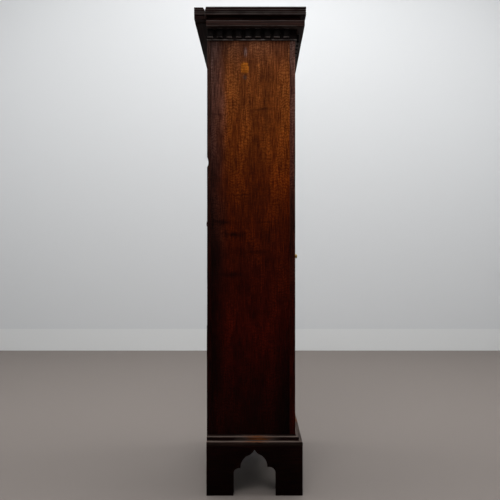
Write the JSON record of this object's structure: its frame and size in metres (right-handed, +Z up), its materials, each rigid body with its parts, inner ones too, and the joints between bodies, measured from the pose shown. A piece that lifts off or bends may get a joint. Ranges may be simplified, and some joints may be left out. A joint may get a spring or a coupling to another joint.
{
  "type": "longcase clock",
  "caption": "Small longcase clock in a straight oak case with a dentil cornice, bracket plinth, glazed dial door, trunk door with round glass, and a working pendulum movement.",
  "frame": {"origin": "on the floor, under the middle of the cornice's outline", "axes": "+Z up, -Y out of the front (dial and doors), +X towards the hinge side of the doors"},
  "size_m": [0.458, 0.32, 1.4],
  "materials": {
    "oak_case": "old dark polished quarter-sawn oak",
    "oak_inside": "plain unpolished oak",
    "brass": "polished and lacquered",
    "old_brass": "dulled",
    "silvered": "silvered brass, satin",
    "steel": "bright",
    "blued_steel": "heat blued",
    "glass": "clear window glass"
  },
  "bodies": {
    "case": {"left_side_board": "oak_case", "right_side_board": "oak_case", "back_boards": "oak_inside", "bottom_board": "oak_inside", "top_board": "oak_case", "front_stiles": "oak_case", "front_rails": "oak_case", "base_panel": "oak_case", "frame_pegs": "oak_case", "plinth_sides": "oak_case", "plinth_front": "oak_case", "plinth_inner_blocks": "oak_inside", "base_moulding": "oak_case", "cornice_front": "oak_case", "cornice_left": "oak_case", "cornice_right": "oak_case", "cornice_back": "oak_case", "cornice_corner_block": "oak_case", "corona_moulding": "oak_case", "dentil_strips": "oak_case", "case_hinge_leaves": "old_brass", "seat_board": "oak_inside", "seat_board_bearers": "oak_inside", "dial_plate": "brass", "dial_spandrels": "brass", "chapter_ring": "silvered", "dial_feet": "old_brass", "movement_front_plate": "old_brass", "movement_back_plate": "old_brass", "movement_pillars": "old_brass", "back_cock": "old_brass"},
    "trunk_door": {"trunk_door_stiles": "oak_case", "trunk_door_rails": "oak_case", "trunk_door_panel": "oak_case", "lenticle_bezel": "brass", "lenticle_glass": "glass", "trunk_door_hinge_leaves": "old_brass"},
    "trunk_catch": {"trunk_door_catch": "old_brass"},
    "dial_door": {"dial_door_stiles": "oak_case", "dial_door_rails": "oak_case", "dial_door_glass": "glass", "dial_door_beads": "oak_case", "dial_door_hinge_leaves": "old_brass"},
    "dial_catch": {"dial_door_catch": "old_brass"},
    "centre_arbor": {"centre_wheel": "old_brass", "cannon_pinion": "old_brass", "minute_hand": "blued_steel"},
    "minute_work": {"minute_wheel": "old_brass"},
    "hour_pipe": {"hour_wheel": "old_brass", "hour_hand": "blued_steel"},
    "intermediate_arbor": {"intermediate_wheel": "old_brass"},
    "going_barrel": {"barrel": "old_brass"},
    "winding_arbor": {"barrel_arbor": "steel"},
    "third_arbor": {"third_wheel": "old_brass"},
    "escape_arbor": {"escape_wheel": "old_brass"},
    "pallet_arbor": {"anchor": "steel"},
    "pendulum": {"suspension_spring": "steel", "pendulum_rod": "steel", "pendulum_bob": "brass", "rating_nut": "brass"}
  },
  "joints": [
    {"name": "trunk_door_hinge", "type": "hinge", "parent": "case", "child": "trunk_door", "pos_m": [0.1595, -0.1343, 0.637], "axis": [0, 0, 1], "range_deg": [0, 105]},
    {"name": "trunk_catch_turn", "type": "hinge", "parent": "trunk_door", "child": "trunk_catch", "pos_m": [-0.139, -0.123, 0.689], "axis": [0, -1, 0], "range_deg": [0, 90]},
    {"name": "dial_door_hinge", "type": "hinge", "parent": "case", "child": "dial_door", "pos_m": [0.1595, -0.1343, 1.145], "axis": [0, 0, 1], "range_deg": [0, 105]},
    {"name": "dial_catch_turn", "type": "hinge", "parent": "dial_door", "child": "dial_catch", "pos_m": [-0.144, -0.123, 1.145], "axis": [0, -1, 0], "range_deg": [0, 90]},
    {"name": "hands_drive", "type": "hinge", "parent": "case", "child": "centre_arbor", "pos_m": [0, 0, 1.145], "axis": [0, 1, 0], "continuous": true},
    {"name": "minute_wheel_turn", "type": "hinge", "parent": "case", "child": "minute_work", "pos_m": [0.01543, 0, 1.16339], "axis": [0, 1, 0], "continuous": true},
    {"name": "hour_wheel_turn", "type": "hinge", "parent": "case", "child": "hour_pipe", "pos_m": [0, 0, 1.145], "axis": [0, 1, 0], "continuous": true},
    {"name": "intermediate_turn", "type": "hinge", "parent": "case", "child": "intermediate_arbor", "pos_m": [0.01401, 0, 1.12075], "axis": [0, 1, 0], "continuous": true},
    {"name": "barrel_turn", "type": "hinge", "parent": "case", "child": "going_barrel", "pos_m": [0, 0, 1.085], "axis": [0, 1, 0], "continuous": true},
    {"name": "winding", "type": "hinge", "parent": "case", "child": "winding_arbor", "pos_m": [0, 0, 1.085], "axis": [0, 1, 0], "continuous": true},
    {"name": "third_turn", "type": "hinge", "parent": "case", "child": "third_arbor", "pos_m": [-0.01455, 0, 1.16703], "axis": [0, 1, 0], "continuous": true},
    {"name": "escape_turn", "type": "hinge", "parent": "case", "child": "escape_arbor", "pos_m": [0, 0, 1.183], "axis": [0, 1, 0], "continuous": true},
    {"name": "pallet_rock", "type": "hinge", "parent": "case", "child": "pallet_arbor", "pos_m": [0, 0, 1.20563], "axis": [0, 1, 0], "range_deg": [-3, 3]},
    {"name": "pendulum_swing", "type": "hinge", "parent": "case", "child": "pendulum", "pos_m": [0, 0.002, 1.20563], "axis": [0, 1, 0], "range_deg": [-3, 3]}
  ],
  "couplings": [
    {"joint": "minute_wheel_turn", "follows": "hands_drive", "ratio": -0.33333},
    {"joint": "hour_wheel_turn", "follows": "hands_drive", "ratio": 0.083333},
    {"joint": "intermediate_turn", "follows": "hands_drive", "ratio": -0.11111},
    {"joint": "barrel_turn", "follows": "hands_drive", "ratio": 0.015873},
    {"joint": "third_turn", "follows": "hands_drive", "ratio": -10},
    {"joint": "escape_turn", "follows": "hands_drive", "ratio": 80},
    {"joint": "pallet_rock", "follows": "pendulum_swing", "ratio": 1}
  ]
}
